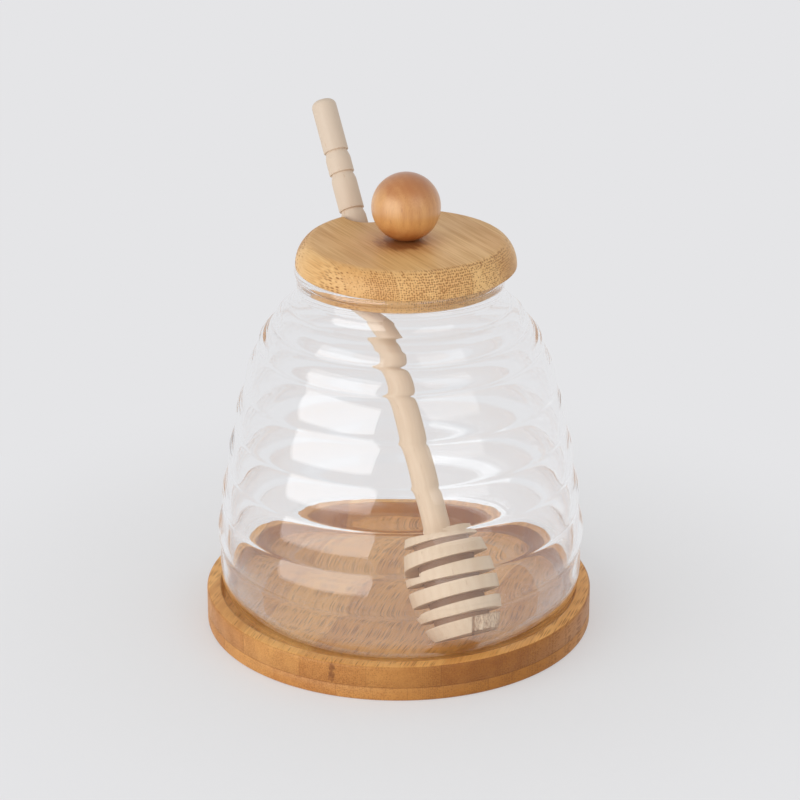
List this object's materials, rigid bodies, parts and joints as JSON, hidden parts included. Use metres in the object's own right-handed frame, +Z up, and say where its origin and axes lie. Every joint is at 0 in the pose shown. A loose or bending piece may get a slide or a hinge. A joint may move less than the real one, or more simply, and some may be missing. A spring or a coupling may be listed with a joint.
{
  "type": "honey pot",
  "caption": "Ribbed clear glass honey pot on a round bamboo saucer, with a bamboo lid, a ball knob and a wooden honey dipper that leans out through a slot.",
  "frame": {"origin": "middle of the saucer's underside, on the surface it stands on", "axes": "+Z up along the jar, +Y to the back, where the dipper's handle comes out through the lid, +X to the right seen from the front"},
  "size_m": [0.12, 0.12, 0.1551],
  "materials": {
    "saucer_bamboo": "satin",
    "jar_glass": "gloss",
    "lid_bamboo": "satin",
    "knob_wood": "satin",
    "dipper_wood": "matte"
  },
  "bodies": {
    "root": {"saucer": "saucer_bamboo", "jar": "jar_glass", "lid": "lid_bamboo", "knob": "knob_wood", "dipper": "dipper_wood"}
  },
  "joints": []
}
